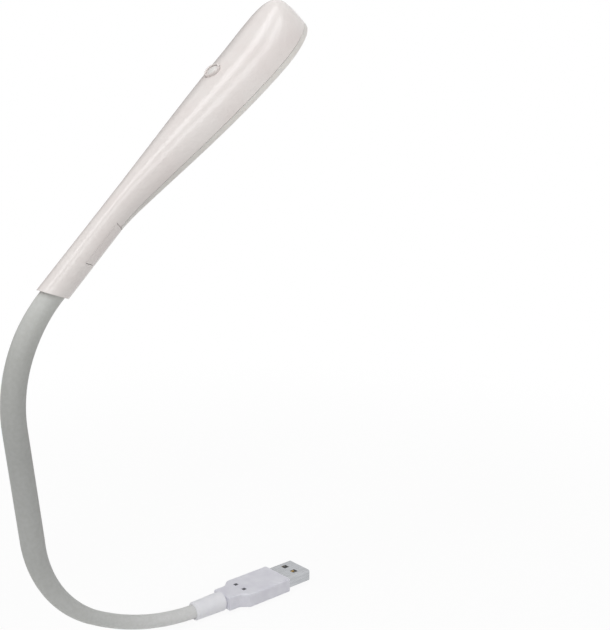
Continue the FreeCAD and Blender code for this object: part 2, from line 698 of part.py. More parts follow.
# Diffuser: the flat white lens under the spoon, flush with the shell's side and
# with a raised lip that locates it inside the shell.
lens_slab = under("lens_slab", "seam_gap", "0", "lens_edge - seam_gap / 2")
lens_plate = meet("lens_plate", outer_form, lens_slab)
lip_form = spoon("lip_form", "(shell_wall + seat_gap)")
lip_core = spoon("lip_core", "(shell_wall + seat_gap + lip_wall)")
lip_slab = under("lip_slab", "lip_start", "lens_edge / 2", "lens_edge + lip_height")
lip_gap = under("lip_gap", "lip_start", "lens_edge - lip_wall", "lens_edge + spoon_width")
lip_ring = cut("lip_ring", meet("lip_band", lip_form, lip_slab), meet("lip_middle", lip_core, lip_gap))
diffuser = keep(join("diffuser", [lens_plate, lip_ring], head))

# Circuit board: follows the inside of the spoon at its own height and hangs
# from the two posts. Its wires come in at the narrow end.
cell("board_thick", 1.0)
cell("board_gap", 0.5)
cell("board_start", 42.0)
cell("board_start_width", 5.4)
for k in (2, 4, 6, 8):
    cell("board_half_%d" % k, "=(spoon_half_%d - shell_wall) * sqrt(1 - pow((board_top - spoon_mid_%d) / "
         "(spoon_deep_%d - shell_wall); 2)) - board_gap" % (k, k, k))
cell("board_end_share", 0.55)
cell("board_end_narrow", 0.7)
cell("board_end", "=wide_place + tip_reach * board_end_share")

led_board = body("led_board", head)
drawing = sketch(led_board, "board_outline", "XY_Plane", "board_top - board_thick")
side = [("board_start", "board_start_width / 2")]
side += [("spoon_place_%d" % k, "board_half_%d" % k) for k in (2, 4, 6, 8)]
side += [("board_end", "board_half_8 * board_end_narrow")]
polygon(drawing, side + [(x, "-(%s)" % y) for x, y in side[::-1]])
extrude(led_board, "PartDesign::Pad", "board_plate", drawing, "board_thick")
drawing = sketch(led_board, "board_holes", "XY_Plane", "board_top")
circle(drawing, "screw_near", "0", "screw_dia / 2 + seam_gap")
circle(drawing, "screw_far", "0", "screw_dia / 2 + seam_gap")
extrude(led_board, "PartDesign::Pocket", "board_hole_cut", drawing, "board_thick * 2")
keep(led_board)

# Screws: two pan heads from below through the board into the posts.
cell("screw_head_dia", 2.8)
cell("screw_head_high", 0.9)
cell("screw_slot", 0.4)
cell("screw_cross", "=screw_head_dia * 0.6")
screws = []
for mark in ("near", "far"):
    shank = make("Part::Cylinder", "shank_" + mark, at("screw_" + mark, "0", "board_top - board_thick"),
                 Radius="screw_dia / 2", Height="board_thick + screw_depth - seat_gap")
    pan = make("Part::Cylinder", "pan_" + mark,
               at("screw_" + mark, "0", "board_top - board_thick - screw_head_high"),
               Radius="screw_head_dia / 2", Height="screw_head_high")
    slot_one = make("Part::Box", "slot_one_" + mark,
                    at("screw_%s - screw_cross / 2" % mark, "-screw_slot / 2",
                       "board_top - board_thick - screw_head_high"),
                    Length="screw_cross", Width="screw_slot", Height="screw_head_high / 2")
    slot_two = make("Part::Box", "slot_two_" + mark,
                    at("screw_%s - screw_slot / 2" % mark, "-screw_cross / 2",
                       "board_top - board_thick - screw_head_high"),
                    Length="screw_slot", Width="screw_cross", Height="screw_head_high / 2")
    whole = join("screw_whole_" + mark, [shank, pan])
    screws.append(cut("screw_" + mark, whole, join("screw_cross_" + mark, [slot_one, slot_two])))
board_screws = keep(group("board_screws", screws, head))

# Lamps: two rows of small LED packages on the underside of the board, each
# with a shallow round window.
cell("led_length", 2.8)
cell("led_width", 3.5)
cell("led_high", 0.75)
cell("led_window_dia", 2.2)
cell("led_window_depth", 0.2)
cell("led_first", 63.0)
cell("led_pitch", 8.6)
cell("led_row", 6.6)
lamps = []
for k in range(6):
    for mark, way in (("left", "led_row / 2"), ("right", "-led_row / 2")):
        place = "led_first + %d * led_pitch" % k
        case = make("Part::Box", "led_case_%d_%s" % (k, mark),
                    at(place + " - led_length / 2", way + " - led_width / 2",
                       "board_top - board_thick - led_high"),
                    Length="led_length", Width="led_width", Height="led_high")
        window = make("Part::Cylinder", "led_window_%d_%s" % (k, mark),
                      at(place, way, "board_top - board_thick - led_high - led_width"),
                      Radius="led_window_dia / 2", Height="led_width + led_window_depth")
        lamps.append(cut("led_%d_%s" % (k, mark), case, window))
leds = keep(group("leds", lamps, head))

# Parts on top of the board: four chip resistors and one driver with its legs.
cell("resistor_length", 2.0)
cell("resistor_width", 1.25)
cell("resistor_high", 0.5)
cell("resistor_first", 72.0)
cell("resistor_pitch", 3.4)
cell("resistor_side", 3.0)
chips = [make("Part::Box", "resistor_%d" % k,
              at("resistor_first + %d * resistor_pitch" % k, "resistor_side", "board_top"),
              Length="resistor_length", Width="resistor_width", Height="resistor_high") for k in range(4)]
resistors = keep(group("resistors", chips, head))

cell("driver_length", 4.9)
cell("driver_width", 3.9)
cell("driver_high", 1.5)
cell("driver_place", 64.0)
cell("leg_pitch", 1.27)
cell("leg_width", 0.4)
cell("leg_reach", 1.0)
cell("leg_thick", 0.4)
pieces = [make("Part::Box", "driver_case",
               at("driver_place - driver_length / 2", "-driver_width / 2", "board_top + seat_gap"),
               Length="driver_length", Width="driver_width", Height="driver_high")]
for k in range(4):
    pieces.append(make("Part::Box", "driver_leg_%d" % k,
                       at("driver_place + %g * leg_pitch - leg_width / 2" % (k - 1.5),
                          "-driver_width / 2 - leg_reach", "board_top"),
                       Length="leg_width", Width="driver_width + 2 * leg_reach", Height="leg_thick"))
driver = keep(join("driver_chip", pieces, head))

# Push switch: a square case on the board and a round plunger that moves in it.
cell("switch_size", 5.2)
cell("switch_high", 2.0)
cell("plunger_dia", 2.6)
cell("plunger_top", 2.7)
cell("plunger_low", 1.1)
cell("press_travel", 0.5)
cell("slide_gap", 0.15)
switch_body = body("switch_body", head)
drawing = sketch(switch_body, "switch_outline", "XY_Plane", "board_top")
rectangle(drawing, "button_place - switch_size / 2", "-switch_size / 2",
          "button_place + switch_size / 2", "switch_size / 2")
step = extrude(switch_body, "PartDesign::Pad", "switch_case", drawing, "switch_high")
soften(switch_body, "switch_bevel", step, "PartDesign::Chamfer", "seam_gap",
       lambda e: abs(e.CenterOfMass.z - value("board_top + switch_high")) < 1e-6)
drawing = sketch(switch_body, "plunger_hole", "XY_Plane", "board_top + switch_high")
circle(drawing, "button_place", "0", "plunger_dia / 2 + slide_gap")
extrude(switch_body, "PartDesign::Pocket", "plunger_hole_cut", drawing,
        "switch_high - plunger_low + press_travel + seam_gap")
keep(switch_body)

switch_plunger = keep(make("Part::Cylinder", "switch_plunger",
                           at("head_x - button_place * cos(full_turn) + (board_top + plunger_low) "
                              "* sin(full_turn) * -1", "0",
                              "head_z + button_place * sin(full_turn) - (board_top + plunger_low) "
                              "* cos(full_turn)", about_y("full_turn - 180")),
                           Radius="plunger_dia / 2", Height="plunger_top - plunger_low"))

# Button: a raised ring set into the shell and the cap that slides in it. A
# flange under the ring keeps the cap in.
cell("bezel_wall", 0.6)
cell("bezel_low", 1.9)
cell("bezel_rise", 0.8)
cell("cap_sink", 0.25)
cell("cap_dome", 0.3)
cell("flange_over", 0.35)
cell("button_share", "=(button_place - stem_length) / (wide_place - stem_length)")
cell("crown", "=tube_dia / 2 - spoon_droop * pow(button_share; 2)")
cell("bezel_top", "=crown + bezel_rise")
cell("bezel_base", "=crown - bezel_low")
cell("cap_dia", "=bezel_dia - 2 * bezel_wall - 2 * slide_gap")
cell("flange_top", "=bezel_base - seam_gap")
cell("cap_base", "=board_top + plunger_top + seat_gap / 2")


def on_button(name):
    """A body whose vertical axis is the button's."""
    return body(name, at("head_x - button_place * cos(full_turn)", "0",
                         "head_z + button_place * sin(full_turn)",
                         about_y("full_turn - 180") + " * rotation(vector(1; 0; 0); 90)"))


button_bezel = on_button("button_bezel")
drawing = sketch(button_bezel, "bezel_profile", "XY_Plane")
polygon(drawing, [("bezel_dia / 2 - bezel_wall", "bezel_base"), ("bezel_dia / 2", "bezel_base"),
                  ("bezel_dia / 2", "bezel_top - bezel_wall / 3"),
                  ("bezel_dia / 2 - bezel_wall / 3", "bezel_top"),
                  ("bezel_dia / 2 - bezel_wall * 2 / 3", "bezel_top"),
                  ("bezel_dia / 2 - bezel_wall", "bezel_top - bezel_wall / 3")])
revolve(button_bezel, "bezel_turn", drawing)
keep(button_bezel)

button_cap = on_button("button_cap")
drawing = sketch(button_cap, "cap_profile", "XY_Plane")
polygon(drawing, [("0", "cap_base"), ("cap_dia / 2 + flange_over", "cap_base"),
                  ("cap_dia / 2 + flange_over", "flange_top"), ("cap_dia / 2", "flange_top"),
                  ("cap_dia / 2", "bezel_top - cap_sink - cap_dome"),
                  ("cap_dia * 0.36", "bezel_top - cap_sink - cap_dome / 4"),
                  ("cap_dia * 0.2", "bezel_top - cap_sink"), ("0", "bezel_top - cap_sink")])
revolve(button_cap, "cap_turn", drawing)
keep(button_cap)

# Everything is worked out, looked over and written, one file for each node.
doc.recompute()
for thing in doc.Objects:
    if "Invalid" in thing.State or "Error" in thing.State:
        raise RuntimeError("%s did not build: %s" % (thing.Name, thing.State))
os.makedirs("parts", exist_ok=True)
for thing in nodes:
    if thing.Shape.isNull() or not thing.Shape.isValid():
        raise RuntimeError("%s has no sound shape" % thing.Name)
    thing.Shape.exportStep("parts/%s.step" % thing.Label)
    box = thing.Shape.BoundBox
    print("%-16s solids %2d  volume %9.2f  x %.1f to %.1f  y %.1f to %.1f  z %.1f to %.1f" % (
        thing.Label, len(thing.Shape.Solids), thing.Shape.Volume,
        box.XMin, box.XMax, box.YMin, box.YMax, box.ZMin, box.ZMax))
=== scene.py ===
import math

import bmesh
import bpy
from mathutils import Matrix, Vector


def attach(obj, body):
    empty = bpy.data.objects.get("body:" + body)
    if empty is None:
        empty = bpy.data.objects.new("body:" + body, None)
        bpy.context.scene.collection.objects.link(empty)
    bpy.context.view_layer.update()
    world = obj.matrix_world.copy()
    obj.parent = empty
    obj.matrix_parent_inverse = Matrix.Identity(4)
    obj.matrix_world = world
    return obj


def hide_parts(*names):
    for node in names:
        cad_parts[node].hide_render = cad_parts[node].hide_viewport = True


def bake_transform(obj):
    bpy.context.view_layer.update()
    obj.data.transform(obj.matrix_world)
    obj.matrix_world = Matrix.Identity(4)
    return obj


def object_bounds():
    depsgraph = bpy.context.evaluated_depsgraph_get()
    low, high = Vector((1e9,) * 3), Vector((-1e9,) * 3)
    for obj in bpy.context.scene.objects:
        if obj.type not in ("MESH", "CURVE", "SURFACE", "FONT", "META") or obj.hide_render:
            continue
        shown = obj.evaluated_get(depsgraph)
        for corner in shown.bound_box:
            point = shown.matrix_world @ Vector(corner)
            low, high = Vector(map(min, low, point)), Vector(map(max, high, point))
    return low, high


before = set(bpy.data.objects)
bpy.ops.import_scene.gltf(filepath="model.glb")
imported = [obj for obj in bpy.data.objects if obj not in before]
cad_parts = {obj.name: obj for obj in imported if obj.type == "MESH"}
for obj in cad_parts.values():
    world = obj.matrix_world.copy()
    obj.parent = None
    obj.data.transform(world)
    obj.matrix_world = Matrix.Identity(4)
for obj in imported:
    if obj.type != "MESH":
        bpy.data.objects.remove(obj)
cad_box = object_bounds()
mm = 0.001

# Plug shell: a folded sheet of nickel plated steel that slides into the socket.
# Rolled sheet keeps a fine grain along its length and a soft, slightly blurred shine.
sheet_grain = 0.35 * mm
sheet_draw = (0.08, 1.0, 1.0)
tint_edges = (0.35, 0.65)
gloss_edges = (0.3, 0.7)
gloss_detail = 3.0
grain_detail = 2.0
grain_strength = 0.5


def linear(code):
    """The linear colour of an sRGB hex value."""
    parts = [int(code[k:k + 2], 16) / 255 for k in (1, 3, 5)]
    return [c / 12.92 if c <= 0.04045 else ((c + 0.055) / 1.055) ** 2.4 for c in parts] + [1.0]


def put(tree, kind, inputs, **settings):
    """Adds one node, sets it up, and fills or links its inputs."""
    node = tree.nodes.new(kind)
    for name, setting in settings.items():
        setattr(node, name, setting)
    for name, source in inputs.items():
        if isinstance(source, bpy.types.NodeSocket):
            tree.links.new(source, node.inputs[name])
        else:
            node.inputs[name].default_value = source
    return node


def begin(name, roughness, ior=1.5, metallic=0.0):
    """A new material, with its node tree, its shader and the piece's own coordinates."""
    material = bpy.data.materials.new(name)
    material.use_nodes = True
    tree = material.node_tree
    shader = tree.nodes["Principled BSDF"]
    shader.inputs["Roughness"].default_value = roughness
    shader.inputs["IOR"].default_value = ior
    shader.inputs["Metallic"].default_value = metallic
    place = put(tree, "ShaderNodeTexCoord", {}).outputs["Object"]
    return material, tree, shader, place


def mottle(tree, place, size, detail, low, high):
    """Soft patches between two colours, each patch about one size across."""
    cloud = put(tree, "ShaderNodeTexNoise", {"Vector": place, "Scale": 1 / size, "Detail": detail})
    ramp = put(tree, "ShaderNodeValToRGB", {"Fac": cloud.outputs["Fac"]})
    for stop, edge, code in zip(ramp.color_ramp.elements, tint_edges, (low, high)):
        stop.position = edge
        stop.color = linear(code)
    return ramp.outputs["Color"]


def paint(tree, shader, place, size, detail, low, high):
    """Colours a piece with soft patches."""
    tree.links.new(mottle(tree, place, size, detail, low, high), shader.inputs["Base Color"])


def roughen(tree, shader, place, size, low, high):
    """Gloss that changes a little from patch to patch."""
    cloud = put(tree, "ShaderNodeTexNoise", {"Vector": place, "Scale": 1 / size, "Detail": gloss_detail})
    span = put(tree, "ShaderNodeMapRange", {"Value": cloud.outputs["Fac"], "From Min": gloss_edges[0],
                                            "From Max": gloss_edges[1], "To Min": low, "To Max": high})
    tree.links.new(span.outputs["Result"], shader.inputs["Roughness"])


def dimpled(tree, shader, place, size, depth):
    """The slight unevenness of a moulded or rolled surface."""
    cloud = put(tree, "ShaderNodeTexNoise", {"Vector": place, "Scale": 1 / size, "Detail": grain_detail})
    bump = put(tree, "ShaderNodeBump", {"Height": cloud.outputs["Fac"], "Strength": grain_strength,
                                        "Distance": depth})
    tree.links.new(bump.outputs["Normal"], shader.inputs["Normal"])


def dress(name, material):
    """Gives one CAD node its finish."""
    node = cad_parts[name]
    node.data.materials.clear()
    node.data.materials.append(material)


nickel, tree, shader, place = begin("nickel_plated_sheet", roughness=0.26, metallic=1.0)
drawn = put(tree, "ShaderNodeMapping", {"Vector": place, "Scale": sheet_draw}).outputs["Vector"]
paint(tree, shader, drawn, size=sheet_grain, detail=3.0, low="#B3B5B8", high="#C3C5C8")
roughen(tree, shader, drawn, size=sheet_grain, low=0.24, high=0.32)
dimpled(tree, shader, drawn, size=sheet_grain, depth=0.003 * mm)
dress("usb_shell", nickel)

# Plug insulator: one moulded block of white PBT with the tongue in front.
# The matt mould leaves a fine, even grit.
pbt, tree, shader, place = begin("moulded_pbt", roughness=0.5, ior=1.55)
paint(tree, shader, place, size=1.5 * mm, detail=2.0, low="#DDDCD6", high="#E8E7E2")
dimpled(tree, shader, place, size=0.2 * mm, depth=0.02 * mm)
dress("usb_tongue", pbt)

# Contacts: four stamped strips of gold flashed bronze, pressed into the tongue.
# Thin gold on rolled strip is warm, bright and faintly streaked.
strip_grain = 0.25 * mm
strip_draw = (0.1, 1.0, 1.0)
gold, tree, shader, place = begin("gold_flashed_bronze", roughness=0.25, metallic=1.0)
drawn = put(tree, "ShaderNodeMapping", {"Vector": place, "Scale": strip_draw}).outputs["Vector"]
paint(tree, shader, drawn, size=strip_grain, detail=2.0, low="#C79A45", high="#E0B964")
roughen(tree, shader, drawn, size=strip_grain, low=0.18, high=0.32)
dress("usb_contacts", gold)

# Plug body: white PVC moulded over the plug, a little bluish beside the head.
# The mould is fine spark-eroded, so the skin is satin with a small even grain.
pvc, tree, shader, place = begin("satin_moulded_pvc", roughness=0.42, ior=1.53)
paint(tree, shader, place, size=4 * mm, detail=3.0, low="#E2E1EA", high="#EAEAF1")
roughen(tree, shader, place, size=2 * mm, low=0.36, high=0.48)
dimpled(tree, shader, place, size=0.35 * mm, depth=0.02 * mm)
dress("plug_body", pvc)

# Grip marks: two dark pads set into the dimples on top of the plug body, painted shade
# for the shadow deep in each dimple. Each is dull and fills its dimple to just under the skin.
mark_size = 1.62 * mm
mark_thick = 0.25 * mm
mark_edge = 0.07 * mm
mark_rounds = 3
mark_place = 18.825 * mm
mark_spread = 4.9 * mm
dimple_floor = 2.35 * mm
soft_corner = math.radians(40)
# The dark grey of the pads is painted shade.
dimple_shade, tree, shader, place = begin("painted_dimple_shade", roughness=0.7, ior=1.52)
paint(tree, shader, place, size=0.4 * mm, detail=3.0, low="#4A4A50", high="#5C5C63")
dimpled(tree, shader, place, size=0.12 * mm, depth=0.02 * mm)
for name, side in (("dimple_shade_far", 0.5), ("dimple_shade_near", -0.5)):
    bpy.ops.object.select_all(action="DESELECT")
    bpy.ops.mesh.primitive_cube_add(size=1.0, scale=(mark_size, mark_size, mark_thick),
                                    location=(-mark_place, side * mark_spread, dimple_floor + mark_thick / 2))
    mark = bpy.context.object
    mark.name = name
    bpy.ops.object.transform_apply(location=True, rotation=True, scale=True)
    bpy.ops.object.mode_set(mode="EDIT")
    bpy.ops.mesh.select_all(action="SELECT")
    bpy.ops.mesh.bevel(offset=mark_edge, segments=mark_rounds)
    bpy.ops.object.mode_set(mode="OBJECT")
    bpy.ops.object.shade_smooth_by_angle(angle=soft_corner)
    mark.data.materials.append(dimple_shade)
    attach(mark, "plug")

# Plug boot: the round strain relief, moulded in a softer grade of the same PVC.
# It bonds the neck to the plug and is a shade lighter and duller.
soft_pvc, tree, shader, place = begin("soft_moulded_pvc", roughness=0.5, ior=1.52)
paint(tree, shader, place, size=3 * mm, detail=3.0, low="#F0F0F5", high="#F6F6FA")
roughen(tree, shader, place, size=2 * mm, low=0.45, high=0.58)
dimpled(tree, shader, place, size=0.3 * mm, depth=0.025 * mm)
dress("plug_boot", soft_pvc)

# Crimps: short tinned brass tubes that lock the ends of the steel wire.
# Tin over drawn brass is pale grey with soft blotches.
tinned, tree, shader, place = begin("tinned_brass", roughness=0.35, metallic=1.0)
paint(tree, shader, place, size=0.6 * mm, detail=3.0, low="#B8B6AE", high="#CFCDC6")
roughen(tree, shader, place, size=0.6 * mm, low=0.28, high=0.42)
dress("plug_crimp", tinned)
dress("head_crimp", tinned)

# Neck: a matt grey silicone sleeve drawn over a soft steel wire and two cores.
# It is made link by link, each stretch bending over one hinge, from the boot to the collar.
# Its greys are painted light and shade by height at rest, palest at its ends and darkest in the middle, so
# they stay on the sleeve wherever the neck is bent to.
ring_sides = 56
ring_steps = 8
first_radius = 86.7 * mm
second_radius = 44.1 * mm
third_radius = 50.0 * mm
path_start = 38.0 * mm
rise_run = 38.3 * mm
end_run = 2.0 * mm
root_run = 6.0 * mm
head_run = 8.5 * mm
thin = 2.5 * mm
thick = 3.85 * mm
slim = 3.6 * mm
first_turn = math.radians(30.5)
second_turn = math.radians(53.0)
third_turn = math.radians(51.0)
lean = first_turn + second_turn
bend_halves = 6
rise_halves = 4
slim_halves = 2
links = 11
hold = 0.07
neck_height = 125 * mm
# Painted light and shade: greys by height at rest, palest at both ends of the neck and darkest in its middle.
neck_painted_shades = ((0.08, "#CECFCD"), (0.3, "#BBBCBA"), (0.6, "#B2B3B1"), (0.85, "#BBBCB9"))
silicone, tree, shader, place = begin("matt_extruded_silicone", roughness=0.6, ior=1.43)
height = put(tree, "ShaderNodeAttribute", {}, attribute_name="rest_height").outputs["Fac"]
share = put(tree, "ShaderNodeMapRange", {"Value": height, "From Min": 0.0, "From Max": neck_height})
ramp = put(tree, "ShaderNodeValToRGB", {"Fac": share.outputs["Result"]})
ramp.color_ramp.elements[0].color = linear("#E6E6E6")
ramp.color_ramp.elements[1].color = linear("#D0D1CE")
for level, code in neck_painted_shades:
    stop = ramp.color_ramp.elements.new(level)
    stop.color = linear(code)
dust = mottle(tree, place, size=1.2 * mm, detail=4.0, low="#F8F8F7", high="#FFFFFF")
tone = put(tree, "ShaderNodeMix", {0: 1.0, 6: ramp.outputs["Color"], 7: dust}, data_type="RGBA",
           blend_type="MULTIPLY")
tree.links.new(tone.outputs[2], shader.inputs["Base Color"])
roughen(tree, shader, place, size=3 * mm, low=0.52, high=0.68)
dimpled(tree, shader, place, size=0.5 * mm, depth=0.02 * mm)


def open_ring(name, centre, turn, radius):
    """Starts a stretch of sleeve as one open ring, square to the path."""
    bpy.ops.object.select_all(action="DESELECT")
    bpy.ops.mesh.primitive_circle_add(vertices=ring_sides, radius=radius, location=centre,
                                      rotation=(0, turn - math.pi / 2, 0))
    piece = bpy.context.object
    piece.name = name
    bpy.ops.object.transform_apply(location=True, rotation=True, scale=True)
    bpy.ops.object.mode_set(mode="EDIT")
    bpy.ops.mesh.select_all(action="SELECT")
    return piece


def draw_on(piece, kind, amount, goal, radius):
    """Draws the open ring on, to a new radius: by an angle round a centre, or straight by a step."""
    mesh = bmesh.from_edit_mesh(piece.data)
    loop = [v.co.copy() for v in mesh.verts if v.select]
    middle = sum(loop, Vector()) / len(loop)
    now = (loop[0] - middle).length
    for step in range(1, ring_steps + 1):
        if kind == "bend":
            bpy.ops.mesh.spin(steps=1, angle=-amount / ring_steps, center=goal, axis=(0, 1, 0))
        else:
            bpy.ops.mesh.extrude_edges_move(TRANSFORM_OT_translate={"value": goal / ring_steps})
        mesh = bmesh.from_edit_mesh(piece.data)
        loop = [v for v in mesh.verts if v.select]
        middle = sum((v.co for v in loop), Vector()) / len(loop)
        wanted = now + (radius - now) * step / ring_steps
        grow = wanted / (loop[0].co - middle).length
        bpy.ops.transform.resize(value=(grow, grow, grow), center_override=middle)
    return middle


def close_up(piece):
    """Closes both ends, turns the faces outwards, smooths the skin and marks its height at rest."""
    bpy.ops.mesh.select_all(action="SELECT")
    bpy.ops.mesh.fill_holes(sides=0)
    bpy.ops.mesh.select_all(action="SELECT")
    bpy.ops.mesh.normals_make_consistent(inside=False)
    bpy.ops.object.mode_set(mode="OBJECT")
    bpy.ops.object.shade_smooth_by_angle(angle=soft_corner)
    heights = piece.data.attributes.new("rest_height", "FLOAT", "POINT")
    heights.data.foreach_set("value", [v.co.z for v in piece.data.vertices])
    piece.data.materials.append(silicone)


tighter = first_radius - second_radius
first_centre = Vector((-path_start, 0, first_radius))
second_centre = first_centre - tighter * Vector((math.sin(first_turn), 0, math.cos(first_turn)))
rise = second_centre - second_radius * Vector((math.sin(lean), 0, math.cos(lean)))
ahead = Vector((-math.cos(lean), 0, math.sin(lean)))
third_centre = rise + ahead * rise_run + third_radius * Vector((math.sin(lean), 0, math.cos(lean)))
full = lean + third_turn
outward = Vector((-math.cos(full), 0, math.sin(full)))

halves = []
for k in range(bend_halves):
    halves.append(("bend", first_turn / bend_halves, first_centre, thin))
for k in range(bend_halves):
    radius = thin + (thick - thin) * (k + 1) / bend_halves
    halves.append(("bend", second_turn / bend_halves, second_centre, radius))
for k in range(rise_halves):
    halves.append(("run", 0.0, ahead * rise_run / rise_halves, thick))
for k in range(bend_halves):
    narrowed = max(0, k + 1 - bend_halves + slim_halves) / slim_halves
    halves.append(("bend", third_turn / bend_halves, third_centre, thick + (slim - thick) * narrowed))

bodies = ["plug"] + ["neck_%d" % k for k in range(2, links)] + ["lamp_head"]
# These two sleeves are told from their upper body, because rounding spoils their turn
# from the lower one when every joint is at its limit.
hung_from_above = (5, 7)
start = Vector((-path_start + root_run, 0, 0))
root = open_ring("neck_root", start, 0.0, thin)
draw_on(root, "run", 0.0, Vector((-root_run, 0, 0)), thin)
spot = draw_on(root, *halves[0])
close_up(root)
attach(root, "plug")
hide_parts("neck_link_1", "bend_wire", "live_wire", "ground_wire")
turned = halves[0][1]
reach = halves[0][3]
for k in range(1, links):
    sleeve = open_ring("neck_sleeve_%d" % k, spot, turned, reach)
    last = spot
    for half in (2 * k - 1, 2 * k):
        spot = draw_on(sleeve, *halves[half])
        turned += halves[half][1]
        reach = halves[half][3]
    close_up(sleeve)
    ends = [(bodies[k - 1], last.lerp(spot, hold)), (bodies[k], last.lerp(spot, 1 - hold))]
    if k in hung_from_above:
        ends.reverse()
    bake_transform(sleeve)
    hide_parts("neck_link_%d" % k, "neck_link_%d" % (k + 1))
top = open_ring("neck_top", spot, turned, reach)
draw_on(top, *halves[-1])
draw_on(top, "run", 0.0, outward * (end_run + head_run), slim)
close_up(top)
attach(top, "lamp_head")
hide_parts("neck_link_11")

# Lamp shell: collar, stem and spoon moulded in one piece of glossy ABS, with a cover on the stem.
# The polished mould gives a bright, faintly wavy skin of warm white. Each is a copy of its
# node with the skin smoothed, and the round of the stem shines as a true cylinder.
weld_gap = 0.002 * mm
skin_corner = math.radians(32)
stem_radius = 4.75 * mm
stem_slack = 0.03 * mm
stem_start = third_centre - third_radius * Vector((math.sin(full), 0, math.cos(full)))
abs_gloss, tree, shader, place = begin("glossy_moulded_abs", roughness=0.2, ior=1.54)
paint(tree, shader, place, size=14 * mm, detail=2.0, low="#E8E0DD", high="#ECE6E3")
roughen(tree, shader, place, size=5 * mm, low=0.2, high=0.25)
dimpled(tree, shader, place, size=9 * mm, depth=0.02 * mm)


def copy_of(node, name):
    """A copy of one CAD node, picked out for work."""
    bpy.ops.object.select_all(action="DESELECT")
    piece = bpy.data.objects.new(name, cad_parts[node].data.copy())
    bpy.context.scene.collection.objects.link(piece)
    piece.select_set(True)
    bpy.context.view_layer.objects.active = piece
    return piece


for name in ("head_shell", "stem_cover"):
    skin = copy_of(name, name + "_skin")
    bpy.ops.object.mode_set(mode="EDIT")
    bpy.ops.mesh.select_all(action="SELECT")
    bpy.ops.mesh.remove_doubles(threshold=weld_gap)
    bpy.ops.object.mode_set(mode="OBJECT")
    bpy.ops.mesh.customdata_custom_splitnormals_clear()
    bpy.ops.object.shade_smooth_by_angle(angle=skin_corner)
    bpy.ops.object.modifier_add(type="WEIGHTED_NORMAL")
    skin.modifiers[-1].keep_sharp = True
    bpy.ops.object.modifier_apply(modifier=skin.modifiers[-1].name)
    shine = [Vector(corner.vector) for corner in skin.data.corner_normals]
    for face in skin.data.polygons:
        arms = []
        for k in face.vertices:
            arm = skin.data.vertices[k].co - stem_start
            arms.append(arm - arm.dot(outward) * outward)
        if all(abs(arm.length - stem_radius) < stem_slack for arm in arms):
            for corner, arm in zip(face.loop_indices, arms):
                shine[corner] = arm.normalized()
    skin.data.normals_split_custom_set(shine)
    skin.data.materials.clear()
    skin.data.materials.append(abs_gloss)
    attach(skin, "lamp_head")
    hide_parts(name)

# Diffuser: a flat lens of frosted white acrylic that snaps into the spoon.
# Light soaks into it a little, and its face is evenly etched. Its rim is drawn up
# against the shell, because the snapped joint shows no open line.
lens_fit = 0.11 * mm
rim_level = 1.7 * mm
rim_slack = 0.05 * mm
rim_facing = 0.98
frosted, tree, shader, place = begin("frosted_acrylic", roughness=0.45, ior=1.49)
shader.inputs["Subsurface Weight"].default_value = 0.25
shader.inputs["Subsurface Radius"].default_value = (1.0, 0.95, 0.9)
shader.inputs["Subsurface Scale"].default_value = 1.5 * mm
paint(tree, shader, place, size=8 * mm, detail=2.0, low="#E3DFDA", high="#E7E4DF")
roughen(tree, shader, place, size=1 * mm, low=0.4, high=0.5)
dimpled(tree, shader, place, size=0.3 * mm, depth=0.015 * mm)
lens = copy_of("diffuser", "diffuser_lens")
bpy.ops.mesh.customdata_custom_splitnormals_clear()
bpy.ops.object.mode_set(mode="EDIT")
bpy.ops.mesh.select_all(action="SELECT")
bpy.ops.mesh.remove_doubles(threshold=weld_gap)
bpy.ops.mesh.select_all(action="DESELECT")
mesh = bmesh.from_edit_mesh(lens.data)
flat = max((face for face in mesh.faces if face.normal.z < 0), key=lambda face: face.calc_area())
inward = -flat.normal.copy()
base = flat.calc_center_median().dot(inward)
for face in mesh.faces:
    level = face.calc_center_median().dot(inward) - base
    face.select_set(face.normal.dot(inward) > rim_facing and abs(level - rim_level) < rim_slack)
bpy.ops.transform.translate(value=inward * lens_fit)
bpy.ops.object.mode_set(mode="OBJECT")
bpy.ops.object.shade_smooth_by_angle(angle=skin_corner)
lens.data.materials.clear()
lens.data.materials.append(frosted)
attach(lens, "lamp_head")
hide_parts("diffuser")

# Circuit board: white solder mask over glass laminate, hung from two posts.
# The mask is glossy, with the weave of the glass just showing.
mask, tree, shader, place = begin("white_solder_mask", roughness=0.3, ior=1.55)
paint(tree, shader, place, size=1 * mm, detail=2.0, low="#D8D9D4", high="#E4E5E0")
dimpled(tree, shader, place, size=0.6 * mm, depth=0.02 * mm)
dress("led_board", mask)

# Screws: zinc plated steel pan heads that hold the board.
# Bright zinc is blotchy and faintly blue.
zinc, tree, shader, place = begin("zinc_plated_steel", roughness=0.32, metallic=1.0)
paint(tree, shader, place, size=0.5 * mm, detail=3.0, low="#AEB1B6", high="#C8CBCF")
roughen(tree, shader, place, size=0.5 * mm, low=0.25, high=0.4)
dress("board_screws", zinc)

# Lamps: twelve small white packages, each with a round bowl of yellow phosphor.
# The resin is smooth and the case is matt.
phosphor, tree, shader, place = begin("phosphor_and_white_resin", roughness=0.35, ior=1.5)
paint(tree, shader, place, size=1.2 * mm, detail=2.0, low="#E8DFA8", high="#F1EBCB")
dimpled(tree, shader, place, size=0.2 * mm, depth=0.01 * mm)
dress("leds", phosphor)

# Chip resistors: black glazed tops on small ceramic blocks.
# The glaze is smooth and nearly black.
glaze, tree, shader, place = begin("black_resistor_glaze", roughness=0.3, ior=1.52)
paint(tree, shader, place, size=0.4 * mm, detail=2.0, low="#1B1B1D", high="#2A2A2D")
dimpled(tree, shader, place, size=0.15 * mm, depth=0.01 * mm)
dress("resistors", glaze)

